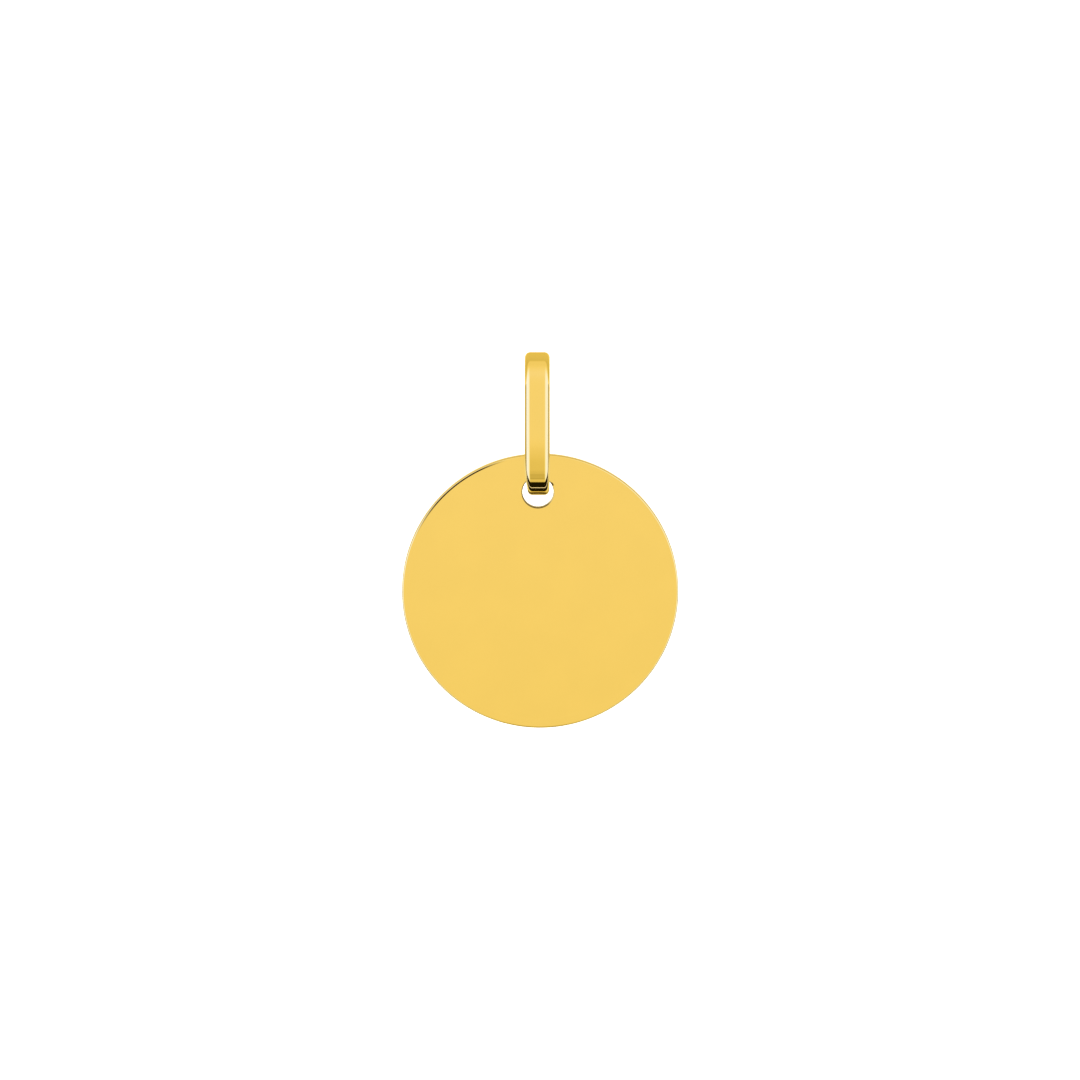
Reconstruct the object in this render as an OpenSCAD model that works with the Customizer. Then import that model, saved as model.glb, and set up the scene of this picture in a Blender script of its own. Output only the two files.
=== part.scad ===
// Disc pendant: a plain round plate that hangs by its one hole on a long, narrow bail.
// X runs to the right, Z up, and the polished front looks along -Y.
// The origin is the middle of the bail's inner top, where the chain carries it.

/* [Disc] */
// Diameter of the plate
disc_d = 15; // [12:0.5:20]
// Thickness of the plate
disc_t = 0.6; // [0.4:0.05:0.9]
// Metal between the hole and the rim
disc_web = 1.215; // [0.9:0.005:2]
// Rounding that polishing leaves on the plate's rim
disc_edge_r = 0.09; // [0.03:0.01:0.12]
// Rounding of the hole's two mouths, which the polishing wheel hardly reaches
bore_edge_r = 0.04; // [0.03:0.01:0.1]

/* [Bail] */
// Room inside the bail from front to back, where the chain passes
bail_gap = 1.96; // [1.5:0.02:3]
// Room inside the bail from top to bottom
bail_drop = 6.35; // [5:0.05:10]
// Width of the strap, seen from the front
strap_w = 1.36; // [1.1:0.01:1.8]
// Thickness of the strap
strap_t = 0.72; // [0.5:0.02:0.9]
// Rounding of the strap's four long edges
strap_edge_r = 0.3; // [0.1:0.02:0.36]

/* [Fit] */
// Room beside the strap in the hole, on each side
hole_play = 0.165; // [0.15:0.005:0.4]
// Gap left between the strap's inner corners and the hole that rests on them
seat_gap = 0.04; // [0.04:0.01:0.1]

/* [Hang] */
// How far the disc has slid to the right along the bend that carries it
disc_slide = 0.035; // [0:0.005:0.05]
// How far the disc hangs askew in its own plane, in degrees
disc_lean = 1.3; // [0:0.1:3]
// How far the disc is turned about the upright line, in degrees
disc_turn = 0.5; // [0:0.5:6]

/* [Hidden] */
$fn = 96;
// A rounding stays under this share of the wall that carries it
round_share = 0.45;
// How far a cutter reaches past the face that it opens
over = 0.2;

strap_r = min(strap_edge_r, round_share * strap_t, round_share * strap_w);
edge_r = min(disc_edge_r, round_share * disc_t);
mouth_r = min(bore_edge_r, round_share * disc_t);
hole_r = strap_w / 2 + hole_play;
// From the hole's middle down to the plate's middle
hole_drop = disc_d / 2 - disc_web - hole_r;

// The bail is two straight legs and two half-round bends
bend_in_r = bail_gap / 2;
bend_mid_r = bend_in_r + strap_t / 2;
leg_len = bail_drop - bail_gap;
top_bend_z = -bend_in_r;
low_bend_z = top_bend_z - leg_len;

// The strap's rounded inner corner, on the side that the disc has slid from, stops this far above the hole's middle
corner_rise = sqrt(pow(hole_r - strap_r - seat_gap, 2) - pow(strap_w / 2 - strap_r + disc_slide, 2)) + strap_r;
// The bend rises this much between its lowest point and the plate's two faces
bend_rise = bend_in_r - sqrt(pow(bend_in_r, 2) - pow(disc_t / 2, 2));
hole_z = low_bend_z - bend_in_r + bend_rise - corner_rise;

// A rectangle with round corners, as a flat shape centred on the origin
module round_rect(w, h, r) {
    square([w - 2 * r, h], center = true);
    square([w, h - 2 * r], center = true);
    for (x = [-1, 1], y = [-1, 1])
        translate([x * (w / 2 - r), y * (h / 2 - r)]) circle(r);
}

// One straight leg of the bail, on the side that side says: -1 is the front, 1 the back
module leg(side) {
    translate([0, side * bend_mid_r, low_bend_z])
        linear_extrude(height = leg_len) round_rect(strap_w, strap_t, strap_r);
}

// One half-round bend, opening downwards before it is turned and placed
module bend() {
    rotate([90, 0, 90])
        rotate_extrude(angle = 180)
            translate([bend_mid_r, 0]) round_rect(strap_t, strap_w, strap_r);
}

module bail() {
    color("gold") {
        leg(-1);
        leg(1);
        translate([0, 0, top_bend_z]) bend();
        translate([0, 0, low_bend_z]) mirror([0, 0, 1]) bend();
    }
}

// Half of the plate's section, from its axis to its rounded rim
module plate_half() {
    translate([0, -disc_t / 2]) square([disc_d / 2 - edge_r, disc_t]);
    translate([0, edge_r - disc_t / 2]) square([disc_d / 2, disc_t - 2 * edge_r]);
    for (y = [-1, 1])
        translate([disc_d / 2 - edge_r, y * (disc_t / 2 - edge_r)]) circle(edge_r);
}

// Half of the hole's section: a straight bore whose two mouths flare over the rounded edges
module bore_half() {
    translate([0, -disc_t / 2 - over]) square([hole_r, disc_t + 2 * over]);
    for (y = [-1, 1])
        translate([0, y * (disc_t / 2 - mouth_r / 2 + over / 2)])
            difference() {
                translate([0, -(mouth_r + over) / 2]) square([hole_r + mouth_r, mouth_r + over]);
                translate([hole_r + mouth_r, -y * (mouth_r + over) / 2]) circle(mouth_r);
            }
}

// The plate with the hole's middle at the origin and its axis along Y
module plate() {
    rotate([90, 0, 0])
        difference() {
            translate([0, -hole_drop, 0]) rotate_extrude() plate_half();
            rotate_extrude() bore_half();
        }
}

module disc() {
    color("goldenrod")
        translate([disc_slide, 0, hole_z]) rotate([0, 0, disc_turn]) rotate([0, -disc_lean, 0]) plate();
}

bail();
disc();
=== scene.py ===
# %% [markdown]
# A plain round disc hangs by one hole on a long, narrow bail. Both are polished gold, so almost all
# that the eye reads is what they mirror. This lesson loads the measured parts, paints a studio for
# them to mirror, builds a finer skin for each piece, and gives the gold its maker's marks.

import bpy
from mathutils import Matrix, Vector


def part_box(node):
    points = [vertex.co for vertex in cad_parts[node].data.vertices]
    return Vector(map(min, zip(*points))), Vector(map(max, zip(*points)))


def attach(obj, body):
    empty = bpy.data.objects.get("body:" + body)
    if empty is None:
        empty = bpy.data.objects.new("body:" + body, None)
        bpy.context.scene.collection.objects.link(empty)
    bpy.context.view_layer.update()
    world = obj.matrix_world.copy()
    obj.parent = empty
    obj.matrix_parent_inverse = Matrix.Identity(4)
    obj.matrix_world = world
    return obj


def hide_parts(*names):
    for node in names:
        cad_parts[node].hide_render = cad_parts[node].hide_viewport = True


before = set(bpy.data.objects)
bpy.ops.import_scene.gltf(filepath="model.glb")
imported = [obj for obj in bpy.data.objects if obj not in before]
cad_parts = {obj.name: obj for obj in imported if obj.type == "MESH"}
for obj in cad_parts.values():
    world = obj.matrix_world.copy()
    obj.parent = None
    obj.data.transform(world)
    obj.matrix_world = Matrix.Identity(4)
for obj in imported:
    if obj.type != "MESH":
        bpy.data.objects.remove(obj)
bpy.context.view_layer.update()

import math

import bpy
from mathutils import Matrix, Vector

MM = 0.001
DEG = math.radians(1)

# %% [markdown]
# The camera comes first, because it settles how large a scratch or a rounding looks. The photograph
# was taken from a little above, with a long lens, so the bail's back leg hides behind its front one.
# The lens follows from the distance and the scale, and the aim from the bail's place in the picture.

# %% Camera
PICTURE_PX = 1080
PX_PER_MM = 18.43  # the disc's width in the photograph over its 15 mm
CAMERA_RISE = 8 * DEG
CAMERA_FAR = 600 * MM
CLIP_NEAR, CLIP_FAR = 0.01, 100.0
SENSOR = 36.0
BAIL_X_PX = 537.27  # where the bail's middle line stands in the photograph
BAIL_TOP_PX = 352.4  # the row that the bail's top just reaches


def add_camera():
    """A long lens that looks down at the pendant as steeply as the photograph does."""
    data = bpy.data.cameras.new("camera")
    data.sensor_width = SENSOR
    data.lens = SENSOR * (CAMERA_FAR / MM) / (PICTURE_PX / PX_PER_MM)
    data.clip_start, data.clip_end = CLIP_NEAR, CLIP_FAR
    camera = bpy.data.objects.new("camera", data)
    bpy.context.scene.collection.objects.link(camera)
    bpy.context.scene.camera = camera
    bail_low, bail_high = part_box("bail")
    bend = (bail_high.y - bail_low.y) / 2
    bend_middle = bail_high.z - bend
    right = (PICTURE_PX / 2 - BAIL_X_PX) / PX_PER_MM * MM
    down = (PICTURE_PX / 2 - BAIL_TOP_PX) / PX_PER_MM * MM - bend
    aim = Vector((right, 0, bend_middle - down / math.cos(CAMERA_RISE)))
    back = Vector((0, -math.cos(CAMERA_RISE), math.sin(CAMERA_RISE)))
    camera.location = aim + back * CAMERA_FAR
    camera.rotation_euler = (90 * DEG - CAMERA_RISE, 0, 0)
    return camera


camera = add_camera()
print("camera at", [round(v, 4) for v in camera.location], "lens", round(camera.data.lens, 1))

# %% [markdown]
# Shader maths reads best as plain arithmetic. A Wire wraps one socket, and its operators add the
# Math nodes. Every other node comes from one method of the Board, which sets the node up and then
# fills or links its sockets. Colours go through Mix nodes, because a Math node would turn them grey.


# %% Shader arithmetic
class Wire:
    """An output socket that can be added, multiplied and so on, with numbers or other wires."""

    def __init__(self, board, socket):
        self.board, self.socket = board, socket

    def math(self, operation, *others, swap=False):
        values = (*others, self) if swap else (self, *others)
        return self.board.add("ShaderNodeMath", {"operation": operation}, dict(enumerate(values)))

    def __add__(self, other):
        return self.math("ADD", other)

    __radd__ = __add__

    def __mul__(self, other):
        return self.math("MULTIPLY", other)

    __rmul__ = __mul__

    def __sub__(self, other):
        return self.math("SUBTRACT", other)

    def __rsub__(self, other):
        return self.math("SUBTRACT", other, swap=True)

    def __truediv__(self, other):
        return self.math("DIVIDE", other)

    def __rtruediv__(self, other):
        return self.math("DIVIDE", other, swap=True)

    def __neg__(self):
        return 0 - self

    def __abs__(self):
        return self.math("ABSOLUTE")

    def step(self, start, end):
        """0 up to start, 1 from end on, and a smooth rise between the two."""
        settings = {"interpolation_type": "SMOOTHSTEP"}
        sockets = {"Value": self, "From Min": start, "From Max": end}
        return self.board.add("ShaderNodeMapRange", settings, sockets)

    def band(self, rise, fall):
        """1 between two soft edges, each given by where it starts and ends."""
        return self.step(*rise) * (1 - self.step(*fall))


# %% Board of nodes
class Board:
    """A node tree that is filled from code."""

    def __init__(self, tree):
        self.tree = tree
        tree.nodes.clear()

    def add(self, kind, settings=None, sockets=None, out=0):
        """Adds one node: its settings first, then its sockets, then a wire from its output."""
        node = self.tree.nodes.new(kind)
        for name, value in (settings or {}).items():
            if name == "stops":
                fill_ramp(node.color_ramp, value)
            else:
                setattr(node, name, value)
        for name, value in (sockets or {}).items():
            if isinstance(value, Wire):
                self.tree.links.new(value.socket, node.inputs[name])
            else:
                node.inputs[name].default_value = value
        return Wire(self, node.outputs[out]) if node.outputs else None

    def blend(self, share, first, second, how="MIX"):
        """Mixes two colours: the first alone at a share of 0, the second's full effect at 1."""
        first, second = ((*c, 1) if isinstance(c, tuple) else c for c in (first, second))
        settings = {"data_type": "RGBA", "blend_type": how}
        return self.add("ShaderNodeMix", settings, {0: share, 6: first, 7: second}, out=2)

    def vector(self, operation, *values):
        return self.add("ShaderNodeVectorMath", {"operation": operation}, dict(enumerate(values)))

    def split(self, vector):
        """The three parts of a vector or a colour, as three wires."""
        node = self.add("ShaderNodeSeparateXYZ", {}, {"Vector": vector}).socket.node
        return [Wire(self, socket) for socket in node.outputs]


def fill_ramp(ramp, stops):
    """Sets a ramp's stops from pairs of place and grey value."""
    while len(ramp.elements) > 1:
        ramp.elements.remove(ramp.elements[-1])
    for i, (place, grey) in enumerate(stops):
        element = ramp.elements[0] if i == 0 else ramp.elements.new(place)
        element.position = place
        element.color = (grey, grey, grey, 1)


# %% [markdown]
# Polished gold has no look of its own: it shows the room. So the studio is painted into the world,
# as a light tent would be built round a jewel. Real cards and area lights would do too, but painted
# ones have no noise and no seams. Each card here is a band of pitch, the angle round the left-right
# line, because the bail is bent round that line and so it mirrors one pitch after another.
# An even card ahead fills the flat faces. A dark table below blackens the underside of the bail's
# lower bend. The shaded cloth between them gives that bend its duller bands.

# %% The tent's cards
GOLD = (0.97, 0.75, 0.31)
WARMTH = (0.995, 0.855, 0.37)  # the tent's cloth tints all the light that it passes
DIM_WARMTH = (0.995, 0.864, 0.46)  # the same where less light comes through
DIM_TO_FULL = (1.0, 1.5)  # the brightness over which the dim tint gives way to the full one
RAMP_WHITE = 2.8  # the brightness that a ramp's own white stands for
RAMP_SPLIT = -8  # degrees: a ramp takes 32 stops at most, so the cards fill two of them
CARDS = (  # pitch in degrees, 0 ahead, 90 overhead and -90 straight down, and brightness
    # the cloth behind, from the horizon down to the lit sheet under the tent
    (-180, 1.9), (-171, 1.9), (-164, 0.58), (-142, 0.58), (-136, 2.6), (-95, 3.2), (-91.2, 3.2),
    # the dark table
    (-90.5, 0.015), (-65, 0.015),
    # the shaded cloth in front of the table, and a crease in it
    (-63.6, 0.8), (-58, 0.87), (-53, 0.85), (-50.5, 0.56), (-47.3, 0.68), (-44, 0.69), (-36, 0.69),
    (-33.4, 0.65), (-30.4, 0.77), (-20, 0.82), (-13, 0.88), (-11.2, 0.99), (-9.6, 1.12), (-9, 1.3),
    # the card ahead, a little brighter upwards
    (-8.3, 1.42), (-7.6, 1.51), (-6, 1.54), (13, 1.58), (28, 1.67), (38, 1.82), (50, 1.8), (56, 1.66),
    # the roof, which darkens towards the back
    (66, 1.5), (71, 1.36), (76, 1.2), (81, 1.13), (94, 1.1), (97.5, 0.84), (103, 0.79), (118, 0.83),
    # the cloth behind, down to the horizon
    (140, 0.86), (160, 0.85), (168, 1.2), (174, 1.9), (180, 1.9),
)


def ramp_of_cards(board, pitch, cards):
    low, high = cards[0][0], cards[-1][0]
    place = (pitch - low * DEG) / ((high - low) * DEG)
    stops = [((angle - low) / (high - low), tone / RAMP_WHITE) for angle, tone in cards]
    colour = board.add("ShaderNodeValToRGB", {"stops": stops}, {"Fac": place})
    return board.add("ShaderNodeRGBToBW", {}, {"Color": colour}) * RAMP_WHITE


def card_tones(board, pitch):
    """The cards' brightness at a pitch, from one ramp below the split and one above it."""
    split = next(i for i, (angle, _) in enumerate(CARDS) if angle > RAMP_SPLIT)
    above = pitch.math("GREATER_THAN", CARDS[split][0] * DEG)
    low_tones = ramp_of_cards(board, pitch, CARDS[:split + 1])
    high_tones = ramp_of_cards(board, pitch, CARDS[split:])
    return low_tones * (1 - above) + high_tones * above


print("cards' edges:", len(CARDS))

# %% [markdown]
# Film doesn't clip a bright tone, it rolls it off towards white. A view transform can do that, but it
# also softens the white sheet behind the jewel, and then pale outlines are lost in it. So the light
# itself is rolled off here, judged by how gold will show it, and the sheet stays plain white.

# %% Film roll-off
SHOULDER = 0.76  # shown tones above this roll off
TOE = 0.08  # where the least of a tone's colours is under this, it is pressed towards black
FADE = 0.15  # how fast a tone that rolls off loses its colour


def soften(board, light):
    """Rolls the light off so that gold that mirrors it shows the rolled-off tone."""
    shown = board.vector("MULTIPLY", light, GOLD)
    red, green, blue = board.split(shown)
    least = red.math("MINIMUM", green).math("MINIMUM", blue).math("MINIMUM", TOE)
    toe = least - least * least / (2 * TOE)
    most = (red.math("MAXIMUM", green).math("MAXIMUM", blue) - toe).math("MAXIMUM", SHOULDER)
    rolled = 1 - (1 - SHOULDER) ** 2 / (most + (1 - 2 * SHOULDER))
    to_white = 1 - 1 / (FADE * (most - rolled) + 1)
    kept = board.vector("SUBTRACT", shown, toe)
    kept = board.vector("MULTIPLY", kept, rolled / most * (1 - to_white))
    return board.vector("DIVIDE", board.vector("ADD", kept, rolled * to_white), GOLD)


# %% [markdown]
# The strap's rounded long edges look sideways, so what stands at the sides draws the bail's outline.
# Two tall softboxes ahead of the pendant, one on each side, edge it with cream. Light that has met
# the gold twice is nearly orange, more than on the real piece, so such rays get a cooler tent. The
# camera itself sees no tent at all, only the white sheet.

# %% Light the tent
SIDE_LIGHT = 10.0
SIDE_TINT = (1.0, 1.15, 0.88)  # the softboxes' own colour over the cloth's
SIDE_REACH = (0.08, 0.72)  # how far to the side a ray goes where a softbox starts and is full
SIDE_FOOT, SIDE_HEAD = (-65 * DEG, -63 * DEG), (20 * DEG, 85 * DEG)
RIGHT_DIMMER = 0.25  # the right softbox is this much weaker
TWICE_DIMMER = 0.75  # and both are, for light that reaches one piece by way of the other
TWICE_MIRRORED = (0.97, 1.2, 2.4)  # the cooler colour of that light
FLANK_SHADE = 0.3  # the cloth is darker behind the pendant at both sides, most of all low down
TABLE_SIDE_RISE = 8 * DEG  # the dark table curls up at its sides
TABLE_BACK = -86 * DEG  # but its back edge stays straight
WHITE_SHEET = (1.0, 1.0, 1.0)


def curl_table(x, pitch):
    """Lowers the pitch at both sides, so that a ray meets the dark table higher up there."""
    curl = abs(x).step(0.15, 0.6) * (1 - pitch.step(-45 * DEG, -20 * DEG))
    lowered = pitch - TABLE_SIDE_RISE * curl
    return lowered.math("MAXIMUM", pitch.math("MINIMUM", TABLE_BACK))


def tinted_cards(board, x, y, z, pitch):
    flanks = abs(x).step(0.3, 0.8) * y.step(0, 0.25) * (1 - 0.7 * z.step(0.1, 0.4))
    grey = card_tones(board, pitch) * (1 - FLANK_SHADE * flanks)
    tint = board.blend(grey.step(*DIM_TO_FULL), DIM_WARMTH, WARMTH)
    return board.blend(1.0, grey, tint, how="MULTIPLY")


def softboxes(x, pitch, twice):
    """1 where a ray runs into a softbox, 0 where it passes between them."""
    reach = abs(x).step(*SIDE_REACH) * pitch.band(SIDE_FOOT, SIDE_HEAD)
    return reach * (1 - RIGHT_DIMMER * x.step(0, 0.2)) * (1 - TWICE_DIMMER * twice)


def paint_studio():
    world = bpy.data.worlds.new("studio")
    bpy.context.scene.world = world
    world.use_nodes = True
    board = Board(world.node_tree)
    path = board.add("ShaderNodeLightPath").socket.node
    twice = Wire(board, path.outputs["Glossy Depth"]).math("GREATER_THAN", 1.5)
    x, y, z = board.split(board.add("ShaderNodeTexCoord"))
    pitch = curl_table(x, z.math("ARCTAN2", -y))
    cards = tinted_cards(board, x, y, z, pitch)
    side_colour = tuple(SIDE_LIGHT * a * b for a, b in zip(SIDE_TINT, WARMTH))
    tent = board.blend(softboxes(x, pitch, twice), cards, side_colour)
    mirrored = board.blend(twice, soften(board, tent), TWICE_MIRRORED, how="MULTIPLY")
    seen = board.blend(Wire(board, path.outputs["Is Camera Ray"]), mirrored, WHITE_SHEET)
    background = board.add("ShaderNodeBackground", {}, {"Color": seen, "Strength": 1.0})
    board.add("ShaderNodeOutputWorld", {}, {"Surface": background})
    return world


studio = paint_studio()
print("studio nodes:", len(studio.node_tree.nodes))

# %% [markdown]
# The floor is a plain pale sheet, far enough below that no shadow reaches it. Jewellers light such
# a sheet from beneath, so it glows white. The gold doesn't mirror it, because the tent's painted
# table and cloth take its place there.

# %% Floor
FLOOR_DROP = 0.25
FLOOR_HALF = 12.0
SHEET_PALE = (0.9, 0.9, 0.89)
SHEET_ROUGH = 0.8


def lay_floor():
    mesh = bpy.data.meshes.new("floor")
    corners = [(sx * FLOOR_HALF, sy * FLOOR_HALF, -FLOOR_DROP) for sx, sy in
               ((-1, -1), (1, -1), (1, 1), (-1, 1))]
    mesh.from_pydata(corners, [], [(0, 1, 2, 3)])
    floor = bpy.data.objects.new("floor", mesh)
    bpy.context.scene.collection.objects.link(floor)
    material = bpy.data.materials.new("lit_sheet")
    material.use_nodes = True
    board = Board(material.node_tree)
    shader = board.add("ShaderNodeBsdfPrincipled", {}, {
        "Base Color": (*SHEET_PALE, 1), "Roughness": SHEET_ROUGH,
        "Emission Color": (*WHITE_SHEET, 1), "Emission Strength": 1.0,
    })
    board.add("ShaderNodeOutputMaterial", {}, {"Surface": shader})
    mesh.materials.append(material)
    floor.visible_glossy = False
    return floor


floor = lay_floor()
print(floor.name, "at z =", -FLOOR_DROP)

# %% [markdown]
# A skin with mirror polish needs true normals, or its facets show as kinks in what it mirrors. Both
# pieces are made of turned and swept roundings, so each point's outward direction is known from the
# same formula as its place. This helper keeps the two together and hands both to the mesh.


# %% Skins with true normals
def rounding(centre, radius, start, end, steps):
    """Points on an arc: each is a place and its outward direction, in a flat plane."""
    points = []
    for i in range(steps + 1):
        angle = (start + (end - start) * i / steps) * DEG
        out = Vector((math.cos(angle), math.sin(angle)))
        points.append((Vector(centre) + radius * out, out))
    return points


def make_skin(name, rows):
    """A mesh over rows of places and normals, closed round each row and from the last to the first."""
    wide = len(rows[0])
    places = [place for row in rows for place, _ in row]
    normals = [out.normalized() for row in rows for _, out in row]
    faces = []
    for r in range(len(rows)):
        below = r * wide
        above = (r + 1) % len(rows) * wide
        for k in range(wide):
            after = (k + 1) % wide
            faces.append((below + k, above + k, above + after, below + after))
    mesh = bpy.data.meshes.new(name)
    mesh.from_pydata(places, [], faces)
    mesh.polygons.foreach_set("use_smooth", [True] * len(faces))
    mesh.validate()
    mesh.normals_split_custom_set_from_vertices(normals)
    mesh.update()
    piece = bpy.data.objects.new(name, mesh)
    bpy.context.scene.collection.objects.link(piece)
    return piece


def say_fit(piece, node):
    """Prints how far the piece's box is from the node's, in mm."""
    low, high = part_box(node)
    places = [v.co for v in piece.data.vertices]
    for axis, label in enumerate("xyz"):
        least = min(p[axis] for p in places) - low[axis]
        most = max(p[axis] for p in places) - high[axis]
        print(piece.name, label, round(least / MM, 4), round(most / MM, 4))


# %% [markdown]
# The bail is one flat strap with softened edges, bent round a former into a long loop and soldered
# shut. Sweeping its rounded section along the loop gives the same shape: two straight legs and two
# half-round bends. A strap bent by hand is never quite true. Here both legs bow out by a hair, and
# the lower bend is a touch narrower and sits a touch to the right.

# %% The bail's measures
STRAP_WIDE = 1.36 * MM
STRAP_THICK = 0.72 * MM
STRAP_ROUND = 0.3 * MM
BEND_MIDDLE = 1.34 * MM  # from a bend's centre to the strap's middle
TOP_BEND_Z = -0.98 * MM
LOW_BEND_Z = -5.37 * MM
LOW_BEND_PINCH = 0.085 * MM  # the low bend's strap is this much narrower on each side
LOW_BEND_SLIDE = 0.06 * MM  # and sits this far to the right
PINCH_BUILD_UP = 1.6  # over 1, so that both come on late, near the lowest point
LEG_LOW_TILT = 4.0  # how far the bends reach past a half turn, in degrees
LEG_TOP_TILT = 1.0
CORNER_STEPS = 10
BEND_STEPS = 64
LEG_STEPS = 24


# %% The loop's middle line
def strap_section():
    """The strap's section: across the strap, then outwards from the loop."""
    half_w = STRAP_WIDE / 2 - STRAP_ROUND
    half_t = STRAP_THICK / 2 - STRAP_ROUND
    section = []
    for corner, (side, face) in enumerate(((1, 1), (-1, 1), (-1, -1), (1, -1))):
        centre = (side * half_w, face * half_t)
        section += rounding(centre, STRAP_ROUND, 90 * corner, 90 * corner + 90, CORNER_STEPS)
    return section


def leg_stations(low, high):
    """A leg from the low bend's end to the top bend's, a cubic curve that meets both smoothly."""
    (start, start_out), (end, end_out) = low, high
    rise = end - start
    low_lean = start_out.y / start_out.x
    top_lean = end_out.y / end_out.x
    side = 1 if start.x > 0 else -1
    stops = []
    for i in range(1, LEG_STEPS):
        t = i / LEG_STEPS
        low_part = t ** 3 - 2 * t ** 2 + t
        top_part = t ** 3 - t ** 2
        bulge = -rise.y * (low_part * low_lean + top_part * top_lean)
        low_slope = (3 * t ** 2 - 4 * t + 1) * low_lean
        top_slope = (3 * t ** 2 - 2 * t) * top_lean
        slope = rise.x / rise.y - low_slope - top_slope
        out = Vector((side, -side * slope)).normalized()
        stops.append((start + t * rise + Vector((bulge, 0)), out))
    return stops


def loop_stations():
    """Stops round the loop's middle line: place, and outward direction, in the Y-Z plane."""
    top = rounding((0, TOP_BEND_Z), BEND_MIDDLE, 180 - LEG_TOP_TILT, LEG_TOP_TILT, BEND_STEPS)
    low = rounding((0, LOW_BEND_Z), BEND_MIDDLE, -LEG_LOW_TILT, LEG_LOW_TILT - 180, BEND_STEPS)
    back_leg = leg_stations(low[0], top[-1])[::-1]
    return top + back_leg + low + leg_stations(low[-1], top[0])


# %% Bend the bail
def smooth_step(start, end, value):
    part = min(1, max(0, (value - start) / (end - start)))
    return part * part * (3 - 2 * part)


def bend_bail():
    """Sweeps the strap's section round the loop."""
    section = strap_section()
    rows = []
    for middle, out in loop_stations():
        outward = Vector((0, out.x, out.y))
        lowness = smooth_step(LOW_BEND_Z, LOW_BEND_Z - BEND_MIDDLE, middle.y) ** PINCH_BUILD_UP
        pinch = 1 - lowness * LOW_BEND_PINCH / (STRAP_WIDE / 2)
        row = []
        for place, direction in section:
            across = place.x * pinch + lowness * LOW_BEND_SLIDE
            point = Vector((across, middle.x, middle.y)) + place.y * outward
            row.append((point, Vector((direction.x, 0, 0)) + direction.y * outward))
        rows.append(row)
    return make_skin("bail_skin", rows)


bail = bend_bail()
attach(bail, "bail")
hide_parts("bail")
say_fit(bail, "bail")

# %% [markdown]
# The disc is cut from rolled sheet, drilled once near its rim, and polished, which softens every
# edge. A cylinder with a hole cut in it would leave long thin faces that spoil a mirror. So the skin
# is laid in rings, each a true circle: from the hole out over the front to the rim, and back over
# the rear. Between hole and rim their centres drift from the one's middle to the other's.

# %% The disc's measures
DISC_R = 7.5 * MM
DISC_THICK = 0.6 * MM
DISC_ROUND = 0.09 * MM
BORE_ROUND = 0.04 * MM
HOLE_R = 0.845 * MM
HOLE_DROP = 5.44 * MM  # from the hole's middle down to the disc's
HOLE_X = 0.035 * MM
HOLE_Z = -6.8907 * MM
DISC_LEAN = 1.3 * DEG
DISC_TURN = 0.5 * DEG
EDGE_STEPS = 8
FACE_STEPS = 12
ROUND_STEPS = 288


# %% Turn the disc
def disc_profile():
    """Rings: how far the centre has drifted to the disc's, then radius, depth and outward."""
    half = DISC_THICK / 2
    mouth_r = HOLE_R + BORE_ROUND
    rim_r = DISC_R - DISC_ROUND
    rings = []
    for side in (-1, 1):
        mouth = [(0.0, mouth_r - p.x, side * (half - BORE_ROUND + p.y), -o.x, side * o.y)
                 for p, o in rounding((0, 0), BORE_ROUND, 0, 90, EDGE_STEPS)]
        edge = [(1.0, rim_r + p.x, side * (half - DISC_ROUND + p.y), o.x, side * o.y)
                for p, o in rounding((0, 0), DISC_ROUND, 90, 0, EDGE_STEPS)]
        flat = []
        for i in range(1, FACE_STEPS):
            part = i / FACE_STEPS
            flat.append((part, mouth_r + part * (rim_r - mouth_r), side * half, 0.0, side * 1.0))
        whole = mouth + flat + edge
        rings += whole if side < 0 else whole[::-1]
    return rings


def turn_disc():
    """Lays the rings round the hole, then hangs the disc a little askew, as the photograph has it."""
    place = Matrix.Translation((HOLE_X, 0, HOLE_Z))
    place @= Matrix.Rotation(DISC_TURN, 4, "Z") @ Matrix.Rotation(-DISC_LEAN, 4, "Y")
    lay = place.to_3x3()
    rows = []
    for drift, radius, depth, out_round, out_deep in disc_profile():
        row = []
        for k in range(ROUND_STEPS):
            angle = 2 * math.pi * k / ROUND_STEPS
            around = Vector((math.cos(angle), 0, math.sin(angle)))
            point = radius * around + Vector((0, depth, -drift * HOLE_DROP))
            row.append((place @ point, lay @ (out_round * around + Vector((0, out_deep, 0)))))
        rows.append(row)
    return make_skin("disc_skin", rows)


disc = turn_disc()
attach(disc, "disc")
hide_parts("disc")
say_fit(disc, "disc")

# %% [markdown]
# Gold is a metal, so its colour is the colour of its reflections. A buffed face is nearly a mirror,
# but not quite: the alloy varies by a hair, and the wheel leaves shallow waves and a few fine lines.
# One recipe makes both pieces' gold, and each piece hands it masks of where it is darkened and where
# it is dull. The darkening is painted shade and painted dark reflection, besides paste in the bail's
# solder seam. A metal seen at a glancing angle turns white, and Specular Tint keeps the rims golden.

# %% Gold
# the dark colour of the painted shade and painted dark reflections, and of the paste in the solder
# seam
SHADE_AND_PASTE = (0.06, 0.032, 0.01)
GLANCING_GOLD = (1.0, 0.91, 0.64)
ALLOY_PALE, ALLOY_RICH = 0.99, 1.006  # the alloy's own colour varies between these shares
POLISH = 0.04  # the mirror's roughness, to which lines, the darkened marks and dull spots add
LINE_HAZE, SHADE_AND_PASTE_HAZE, DULL_HAZE = 0.02, 0.25, 0.12
LINE_WAYS = (25, 80, 140)  # degrees: the directions in which the wheel crossed the face
LINE_STRETCH = (40, 40, 1.2)  # much finer across a line than along it


def in_mm(board):
    """A point's own place in millimetres: first as a vector, then as three wires."""
    place = board.add("ShaderNodeTexCoord", {}, {}, out=3)
    scaled = board.add("ShaderNodeVectorMath", {"operation": "SCALE"}, {0: place, "Scale": 1 / MM})
    return scaled, board.split(scaled)


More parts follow.
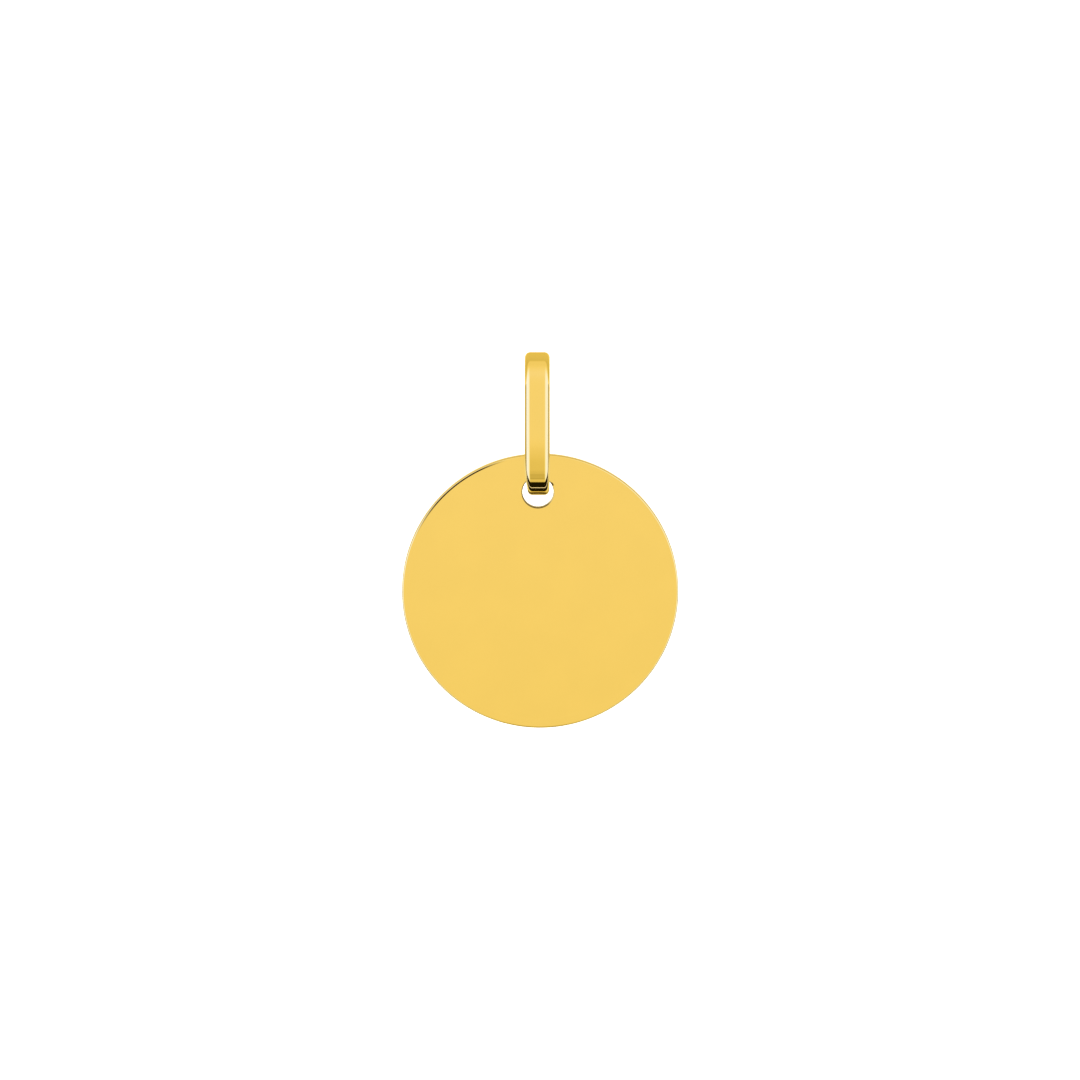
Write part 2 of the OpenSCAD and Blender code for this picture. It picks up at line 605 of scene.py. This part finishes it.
def noise(board, place, scale, detail=2.0, stretch=(1, 1, 1), turn=0.0):
    laid = board.add("ShaderNodeMapping", {}, {
        "Vector": place, "Rotation": (0, turn * DEG, 0), "Scale": stretch,
    })
    return board.add("ShaderNodeTexNoise", {}, {"Vector": laid, "Scale": scale, "Detail": detail})


def wheel_lines(board, place):
    """Fine lines that the buffing wheel leaves, where a stretched noise peaks."""
    ways = (noise(board, place, 1.0, 1.0, LINE_STRETCH, turn) for turn in LINE_WAYS)
    return sum((way.step(0.66, 0.74) for way in ways), start=0.0)


def make_gold(name, marks, ripple):
    """Polished gold. marks(board, place, axes) gives masks of painted shade with seam paste, and of
    dull spots.
    """
    material = bpy.data.materials.new(name)
    material.use_nodes = True
    board = Board(material.node_tree)
    place, axes = in_mm(board)
    shade_and_paste, dull = marks(board, place, axes)
    pale, rich = (tuple(share * c for c in GOLD) for share in (ALLOY_PALE, ALLOY_RICH))
    alloy = board.blend(noise(board, place, 0.4).step(0.3, 0.7), pale, rich)
    rough = POLISH + LINE_HAZE * wheel_lines(board, place) + SHADE_AND_PASTE_HAZE * shade_and_paste + DULL_HAZE * dull
    waves = noise(board, place, 0.45, 1.0)
    bump = board.add("ShaderNodeBump", {}, {"Height": waves, "Distance": ripple, "Strength": 1.0})
    shader = board.add("ShaderNodeBsdfPrincipled", {}, {
        "Base Color": board.blend(shade_and_paste, alloy, SHADE_AND_PASTE), "Metallic": 1.0, "Roughness": rough,
        "Normal": bump, "Specular Tint": (*GLANCING_GOLD, 1),
    })
    board.add("ShaderNodeOutputMaterial", {}, {"Surface": shader})
    print(name, "nodes:", len(material.node_tree.nodes))
    return material


def span(first, second):
    """The length of two steps at right angles."""
    return (first * first + second * second).math("SQRT")


# %% [markdown]
# A buff reaches the outside of the bail everywhere, but its inside hardly at all, so the inside is a
# little duller, in soft patches, and painted shade darkens it a little. The strap's ends meet in the
# back leg, where a hairline of solder crosses it. A strip of painted shade lies under the lower bend,
# just ahead of its lowest point. All of this is placed by the distance from the loop's core, the
# straight line between the two bends' centres.

# %% The bail's marks
# painted shade, in patches, inside the loop
INSIDE_SHADE = 0.05
INSIDE_DULL, INSIDE_PATCHES = 0.6, 0.4
SEAM_Z, SEAM_SLANT = -3.1, 0.02  # in mm, and how far the seam climbs in each mm to the right
SEAM_SOFT = (0.012, 0.035)  # from the seam's line to where it fades and ends, in mm
SEAM_PASTE, SEAM_DULL = 0.25, 0.8
STRIP_FROM, STRIP_TO = (22 * DEG, 24 * DEG), (27 * DEG, 29 * DEG)  # ahead of the lowest point
# painted shade in a strip under the lower bend
STRIP_SHADE = 0.5
OUTER_FACE = (1.6, 1.66)  # mm from the core


def bail_marks(board, place, axes):
    """Masks of painted shade, of the seam's paste and of dull spots on the bail."""
    x, y, z = axes
    top, low = TOP_BEND_Z / MM, LOW_BEND_Z / MM
    nearest = z.math("MAXIMUM", low).math("MINIMUM", top)
    from_core = span(z - nearest, y)
    inside = 1 - from_core.step((BEND_MIDDLE - 0.25 * STRAP_THICK) / MM, BEND_MIDDLE / MM)
    patchy = noise(board, place, 2.0).step(0.3, 0.7)
    seam = (1 - abs(z - SEAM_Z - SEAM_SLANT * x).step(*SEAM_SOFT)) * y.step(0.5, 0.6)
    shade_strip = (-y).math("ARCTAN2", low - z).band(STRIP_FROM, STRIP_TO)
    shade_strip = shade_strip * from_core.step(*OUTER_FACE) * (low - z).step(0.2, 0.4)
    shade_and_paste = INSIDE_SHADE * inside * patchy + SEAM_PASTE * seam + STRIP_SHADE * shade_strip
    dull = inside * (INSIDE_DULL + INSIDE_PATCHES * patchy) + SEAM_DULL * seam
    return shade_and_paste, dull


bail.data.materials.append(make_gold("bail_gold", bail_marks, 0.002 * MM))

# %% [markdown]
# Painted shade draws a dark line round the disc's hole, thinner at the lower right, where the light
# reaches in, and a small painted shadow fills the gap between strap and hole at the upper right. More
# painted shade lies round the rim: a thin painted dark reflection along the upper left, a faint tone
# where the rounding starts, and a darker rear half of the rim's wall, which is also duller. These
# marks are placed by the distance from the hole's middle, by the depth in from the rim, and by the
# clock, the angle round the disc from its top.

# %% The disc's marks
# painted shade in the hole and round its mouth
BORE_SHADE = 0.9
LIP, LIP_SOFT = 0.03, 0.03  # how far the painted shade reaches out of the hole and fades, in mm
LIT_X, LIT_Z, LIT_SHARE = (0.55, 0.8), (-6.56, -6.5), 0.7  # the lower right, where it is thinner
# a small painted shadow at the upper right of the hole, where strap and hole edge meet
SHADOW_SPOT_X, SHADOW_SPOT_LOW, SHADOW_SPOT_HIGH = (0.6, 0.66), (-6.56, -6.5), (-6.38, -6.32)
SHADOW_SPOT_GROWS = 0.06  # how much further the painted shadow reaches out there, in mm
# a painted dark reflection along the upper left of the rim
DARK_LINE_OUT, DARK_LINE_IN = (0.05, 0.062), (0.126, 0.138)  # mm in from the rim
DARK_LINE_START, DARK_LINE_END = (-68 * DEG, -46 * DEG), (-27 * DEG, -13 * DEG)  # round the clock
FRONT_ONLY = (-0.24, -0.2)  # the front face is below this y, in mm
# painted shade along the rim's outline, where the rounding starts
BRINK_DEPTH = (0.025, 0.045)  # mm in from the rim
BRINK_LOW, BRINK_TOP, BRINK_UNDER_LINE = 0.12, 0.1, 0.12  # its painted shade: all round, more at the top, less under the dark line
WALL_DEPTH, WALL_BACK = (0.01, 0.03), (0.05, 0.25)  # the rim's own wall, and its rear half
# painted shade on the rear half of the rim's wall, which is also duller
WALL_SHADE, WALL_DULL = 0.3, 0.5


def hole_shade(x, z):
    """The painted shade round the hole, with a painted shadow spot at its upper right."""
    from_hole = span(x - HOLE_X / MM, z - HOLE_Z / MM)
    shadow_spot = x.step(*SHADOW_SPOT_X) * z.band(SHADOW_SPOT_LOW, SHADOW_SPOT_HIGH)
    lip = HOLE_R / MM + LIP + SHADOW_SPOT_GROWS * shadow_spot
    lit = x.step(*LIT_X) * (1 - z.step(*LIT_Z))
    return BORE_SHADE * (1 - from_hole.step(lip, lip + LIP_SOFT)) * (1 - LIT_SHARE * lit)


def disc_marks(board, place, axes):
    """Masks of painted shade and dull spots on the disc."""
    x, y, z = axes
    right = x - (HOLE_X + HOLE_DROP * math.sin(DISC_LEAN)) / MM
    up = z - (HOLE_Z - HOLE_DROP * math.cos(DISC_LEAN)) / MM
    depth = DISC_R / MM - span(right, up)
    clock = right.math("ARCTAN2", up)
    sector = clock.band(DARK_LINE_START, DARK_LINE_END)
    painted_dark_line = sector * depth.band(DARK_LINE_OUT, DARK_LINE_IN) * (1 - y.step(*FRONT_ONLY))
    top = 1 - abs(clock).step(30 * DEG, 110 * DEG)
    brink = BRINK_LOW + BRINK_TOP * top - BRINK_UNDER_LINE * sector
    brink = brink * (1 - depth.step(*BRINK_DEPTH))
    wall = (1 - depth.step(*WALL_DEPTH)) * y.step(*WALL_BACK)
    shade_and_paste = (hole_shade(x, z) + painted_dark_line + brink + WALL_SHADE * wall).math("MINIMUM", 1.0)
    return shade_and_paste, WALL_DULL * wall


disc.data.materials.append(make_gold("disc_gold", disc_marks, 0.0015 * MM))

# %% [markdown]
# The studio's light is already rolled off as film would do it. So the view shows it as it is, and
# the sheet behind the pendant stays pure white right up to the gold's outline.

# %% Colour
view = bpy.context.scene.view_settings
view.view_transform = "Standard"
view.look = "None"
print("view:", view.view_transform)
